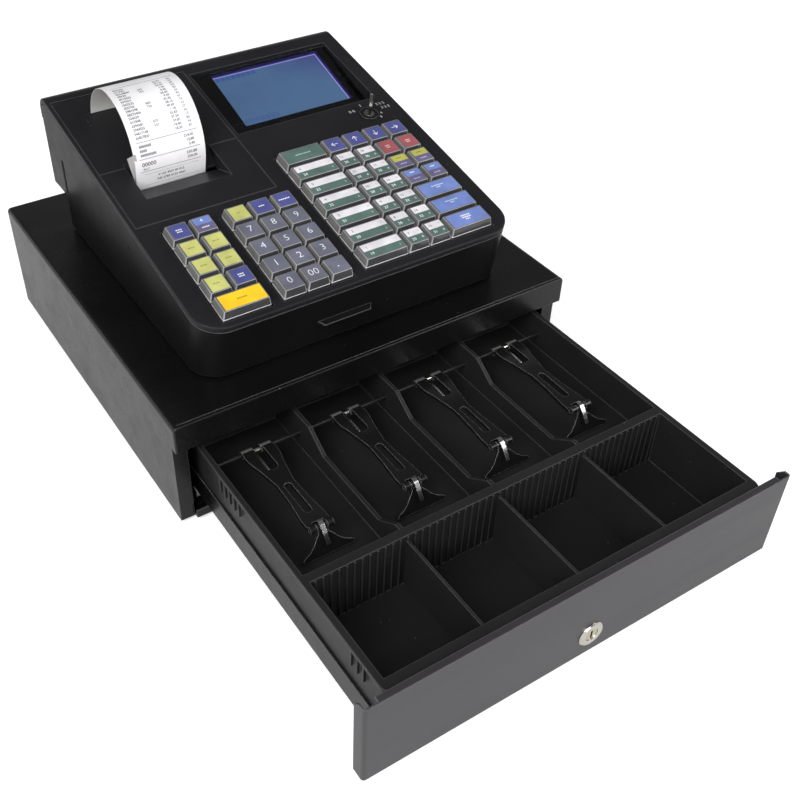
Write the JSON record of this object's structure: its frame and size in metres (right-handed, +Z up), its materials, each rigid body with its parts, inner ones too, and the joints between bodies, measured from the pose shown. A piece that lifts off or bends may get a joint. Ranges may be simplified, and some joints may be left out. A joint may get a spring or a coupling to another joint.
{
  "type": "cash register",
  "caption": "Table-top cash register with a sloping keyboard head on a steel cabinet, an open drawer with a lift-out till, bill clips and a drawer lock.",
  "frame": {"origin": "middle of the footprint, drawer open, on the surface that the rubber feet stand on", "axes": "+X to the cashier's right, +Y to the rear, +Z up; the drawer opens towards -Y"},
  "size_m": [0.34, 0.572, 0.2333],
  "materials": {
    "case_steel": "satin powder coat",
    "bare_steel": "zinc plated",
    "chrome": "polished",
    "head_plastic": "fine texture",
    "till_plastic": "moulded gloss",
    "clip_plastic": "moulded gloss",
    "nylon": "natural",
    "rubber": "matt",
    "board": "solder mask",
    "window": "clear",
    "smoked_window": "smoked",
    "lcd": "backlit",
    "paper": "thermal paper",
    "digit_key": "clear cap, slate insert",
    "function_key": "clear cap, green insert",
    "clear_key": "clear cap, amber insert",
    "plu_key": "clear cap, blue insert",
    "cursor_key": "clear cap, blue insert",
    "department_key": "clear cap, white and green insert",
    "payment_key": "clear cap, light blue insert"
  },
  "bodies": {
    "cabinet": {"cabinet_shell": "case_steel", "cabinet_base": "case_steel", "rubber_feet": "rubber", "case_screws": "bare_steel", "fixed_rails": "bare_steel", "solenoid_latch": "bare_steel", "head_base": "head_plastic", "head_cover": "head_plastic", "display_window": "window", "lcd_panel": "lcd", "customer_window": "smoked_window", "printer_cover": "head_plastic", "print_mechanism": "head_plastic", "mode_lock_barrel": "chrome", "control_board": "board", "power_inlet": "head_plastic", "keyboard_plate": "head_plastic"},
    "front_rollers": {"front_rollers": "nylon"},
    "latch_hook": {"latch_hook": "bare_steel"},
    "drawer": {"drawer_pan": "case_steel", "drawer_front": "case_steel", "lock_barrel": "chrome"},
    "lock_plug": {"lock_plug": "chrome"},
    "rear_rollers": {"rear_rollers": "nylon"},
    "till": {"till_tray": "till_plastic", "coin_dividers": "till_plastic", "clip_rod": "bare_steel", "clip_springs": "chrome"},
    "clip_1": {"bill_clip_1": "clip_plastic"},
    "clip_2": {"bill_clip_2": "clip_plastic"},
    "clip_3": {"bill_clip_3": "clip_plastic"},
    "clip_4": {"bill_clip_4": "clip_plastic"},
    "clip_foot_1": {"clip_foot_1": "clip_plastic"},
    "clip_foot_2": {"clip_foot_2": "clip_plastic"},
    "clip_foot_3": {"clip_foot_3": "clip_plastic"},
    "clip_foot_4": {"clip_foot_4": "clip_plastic"},
    "roll_lid": {"roll_cover": "head_plastic", "receipt_paper": "paper"},
    "paper_roll": {"paper_roll": "paper"},
    "platen_roller": {"platen_roller": "rubber"},
    "mode_key": {"mode_key": "chrome"},
    "plu_keys": {"plu_keys": "plu_key"},
    "left_function_keys": {"left_function_keys": "function_key"},
    "cursor_keys": {"cursor_keys": "cursor_key"},
    "department_keys": {"department_keys": "department_key"},
    "right_function_keys": {"right_function_keys": "payment_key"},
    "total_key": {"total_key": "payment_key"},
    "key_clear": {"key_clear": "clear_key"},
    "key_double_zero": {"key_double_zero": "digit_key"},
    "key_decimal": {"key_decimal": "digit_key"},
    "key_0": {"key_0": "digit_key"},
    "key_1": {"key_1": "digit_key"},
    "key_2": {"key_2": "digit_key"},
    "key_3": {"key_3": "digit_key"},
    "key_4": {"key_4": "digit_key"},
    "key_5": {"key_5": "digit_key"},
    "key_6": {"key_6": "digit_key"},
    "key_7": {"key_7": "digit_key"},
    "key_8": {"key_8": "digit_key"},
    "key_9": {"key_9": "digit_key"}
  },
  "joints": [
    {"name": "drawer_slide", "type": "slide", "parent": "cabinet", "child": "drawer", "axis": [0, -1, 0], "range_m": [-0.231, 0]},
    {"name": "front_roller_spin", "type": "hinge", "parent": "cabinet", "child": "front_rollers", "pos_m": [0, -0.02575, 0.0086], "axis": [1, 0, 0], "range_deg": [-3153, 1]},
    {"name": "rear_roller_spin", "type": "hinge", "parent": "drawer", "child": "rear_rollers", "pos_m": [0, 0.00025, 0.023], "axis": [1, 0, 0], "range_deg": [-2207, 1]},
    {"name": "latch_hook_swing", "type": "hinge", "parent": "cabinet", "child": "latch_hook", "pos_m": [0, 0.25625, 0.042], "axis": [1, 0, 0], "range_deg": [0, 15]},
    {"name": "lock_turn", "type": "hinge", "parent": "drawer", "child": "lock_plug", "pos_m": [0.002, -0.28455, 0.022], "axis": [0, 1, 0], "range_deg": [0, 90]},
    {"name": "till_lift", "type": "slide", "parent": "drawer", "child": "till", "axis": [0, 0, 1], "range_m": [0, 0.006]},
    {"name": "clip_1_raise", "type": "hinge", "parent": "till", "child": "clip_1", "pos_m": [-0.1119, -0.05375, 0.054], "axis": [-1, 0, 0], "range_deg": [0, 88]},
    {"name": "clip_foot_1_tilt", "type": "hinge", "parent": "clip_1", "child": "clip_foot_1", "pos_m": [-0.1119, -0.14275, 0.057], "axis": [1, 0, 0], "range_deg": [-20, 0]},
    {"name": "clip_2_raise", "type": "hinge", "parent": "till", "child": "clip_2", "pos_m": [-0.0373, -0.05375, 0.054], "axis": [-1, 0, 0], "range_deg": [0, 88]},
    {"name": "clip_foot_2_tilt", "type": "hinge", "parent": "clip_2", "child": "clip_foot_2", "pos_m": [-0.0373, -0.14275, 0.057], "axis": [1, 0, 0], "range_deg": [-20, 0]},
    {"name": "clip_3_raise", "type": "hinge", "parent": "till", "child": "clip_3", "pos_m": [0.0373, -0.05375, 0.054], "axis": [-1, 0, 0], "range_deg": [0, 88]},
    {"name": "clip_foot_3_tilt", "type": "hinge", "parent": "clip_3", "child": "clip_foot_3", "pos_m": [0.0373, -0.14275, 0.057], "axis": [1, 0, 0], "range_deg": [-20, 0]},
    {"name": "clip_4_raise", "type": "hinge", "parent": "till", "child": "clip_4", "pos_m": [0.1119, -0.05375, 0.054], "axis": [-1, 0, 0], "range_deg": [0, 88]},
    {"name": "clip_foot_4_tilt", "type": "hinge", "parent": "clip_4", "child": "clip_foot_4", "pos_m": [0.1119, -0.14275, 0.057], "axis": [1, 0, 0], "range_deg": [-20, 0]},
    {"name": "roll_lid_open", "type": "hinge", "parent": "cabinet", "child": "roll_lid", "pos_m": [-0.001, 0.23424, 0.20178], "axis": [-1, 0, 0], "range_deg": [0, 80]},
    {"name": "paper_roll_spin", "type": "hinge", "parent": "cabinet", "child": "paper_roll", "pos_m": [-0.0773, 0.18825, 0.145], "axis": [1, 0, 0], "continuous": true},
    {"name": "platen_spin", "type": "hinge", "parent": "cabinet", "child": "platen_roller", "pos_m": [-0.0773, 0.14025, 0.155], "axis": [1, 0, 0], "continuous": true},
    {"name": "mode_key_turn", "type": "hinge", "parent": "cabinet", "child": "mode_key", "pos_m": [0.0995, 0.1284, 0.18172], "axis": [0, -0.2045, 0.9789], "range_deg": [-60, 60]},
    {"name": "plu_keys_press", "type": "slide", "parent": "cabinet", "child": "plu_keys", "axis": [0, 0.2045, -0.9789], "range_m": [0, 0.003], "stiffness_N_per_m": 600, "springref_m": -0.002},
    {"name": "left_function_keys_press", "type": "slide", "parent": "cabinet", "child": "left_function_keys", "axis": [0, 0.2045, -0.9789], "range_m": [0, 0.003], "stiffness_N_per_m": 1600, "springref_m": -0.002},
    {"name": "cursor_keys_press", "type": "slide", "parent": "cabinet", "child": "cursor_keys", "axis": [0, 0.2045, -0.9789], "range_m": [0, 0.003], "stiffness_N_per_m": 1000, "springref_m": -0.002},
    {"name": "department_keys_press", "type": "slide", "parent": "cabinet", "child": "department_keys", "axis": [0, 0.2045, -0.9789], "range_m": [0, 0.003], "stiffness_N_per_m": 3600, "springref_m": -0.002},
    {"name": "right_function_keys_press", "type": "slide", "parent": "cabinet", "child": "right_function_keys", "axis": [0, 0.2045, -0.9789], "range_m": [0, 0.003], "stiffness_N_per_m": 1600, "springref_m": -0.002},
    {"name": "total_press", "type": "slide", "parent": "cabinet", "child": "total_key", "axis": [0, 0.2045, -0.9789], "range_m": [0, 0.003], "stiffness_N_per_m": 200, "springref_m": -0.002},
    {"name": "clear_press", "type": "slide", "parent": "cabinet", "child": "key_clear", "axis": [0, 0.2045, -0.9789], "range_m": [0, 0.003], "stiffness_N_per_m": 200, "springref_m": -0.002},
    {"name": "key_double_zero_press", "type": "slide", "parent": "cabinet", "child": "key_double_zero", "axis": [0, 0.2045, -0.9789], "range_m": [0, 0.003], "stiffness_N_per_m": 200, "springref_m": -0.002},
    {"name": "key_decimal_press", "type": "slide", "parent": "cabinet", "child": "key_decimal", "axis": [0, 0.2045, -0.9789], "range_m": [0, 0.003], "stiffness_N_per_m": 200, "springref_m": -0.002},
    {"name": "key_0_press", "type": "slide", "parent": "cabinet", "child": "key_0", "axis": [0, 0.2045, -0.9789], "range_m": [0, 0.003], "stiffness_N_per_m": 200, "springref_m": -0.002},
    {"name": "key_1_press", "type": "slide", "parent": "cabinet", "child": "key_1", "axis": [0, 0.2045, -0.9789], "range_m": [0, 0.003], "stiffness_N_per_m": 200, "springref_m": -0.002},
    {"name": "key_2_press", "type": "slide", "parent": "cabinet", "child": "key_2", "axis": [0, 0.2045, -0.9789], "range_m": [0, 0.003], "stiffness_N_per_m": 200, "springref_m": -0.002},
    {"name": "key_3_press", "type": "slide", "parent": "cabinet", "child": "key_3", "axis": [0, 0.2045, -0.9789], "range_m": [0, 0.003], "stiffness_N_per_m": 200, "springref_m": -0.002},
    {"name": "key_4_press", "type": "slide", "parent": "cabinet", "child": "key_4", "axis": [0, 0.2045, -0.9789], "range_m": [0, 0.003], "stiffness_N_per_m": 200, "springref_m": -0.002},
    {"name": "key_5_press", "type": "slide", "parent": "cabinet", "child": "key_5", "axis": [0, 0.2045, -0.9789], "range_m": [0, 0.003], "stiffness_N_per_m": 200, "springref_m": -0.002},
    {"name": "key_6_press", "type": "slide", "parent": "cabinet", "child": "key_6", "axis": [0, 0.2045, -0.9789], "range_m": [0, 0.003], "stiffness_N_per_m": 200, "springref_m": -0.002},
    {"name": "key_7_press", "type": "slide", "parent": "cabinet", "child": "key_7", "axis": [0, 0.2045, -0.9789], "range_m": [0, 0.003], "stiffness_N_per_m": 200, "springref_m": -0.002},
    {"name": "key_8_press", "type": "slide", "parent": "cabinet", "child": "key_8", "axis": [0, 0.2045, -0.9789], "range_m": [0, 0.003], "stiffness_N_per_m": 200, "springref_m": -0.002},
    {"name": "key_9_press", "type": "slide", "parent": "cabinet", "child": "key_9", "axis": [0, 0.2045, -0.9789], "range_m": [0, 0.003], "stiffness_N_per_m": 200, "springref_m": -0.002}
  ],
  "couplings": [
    {"joint": "front_roller_spin", "follows": "drawer_slide", "rad_per_m": 238.1},
    {"joint": "rear_roller_spin", "follows": "drawer_slide", "rad_per_m": 166.67},
    {"joint": "platen_spin", "follows": "paper_roll_spin", "ratio": -5.4}
  ]
}
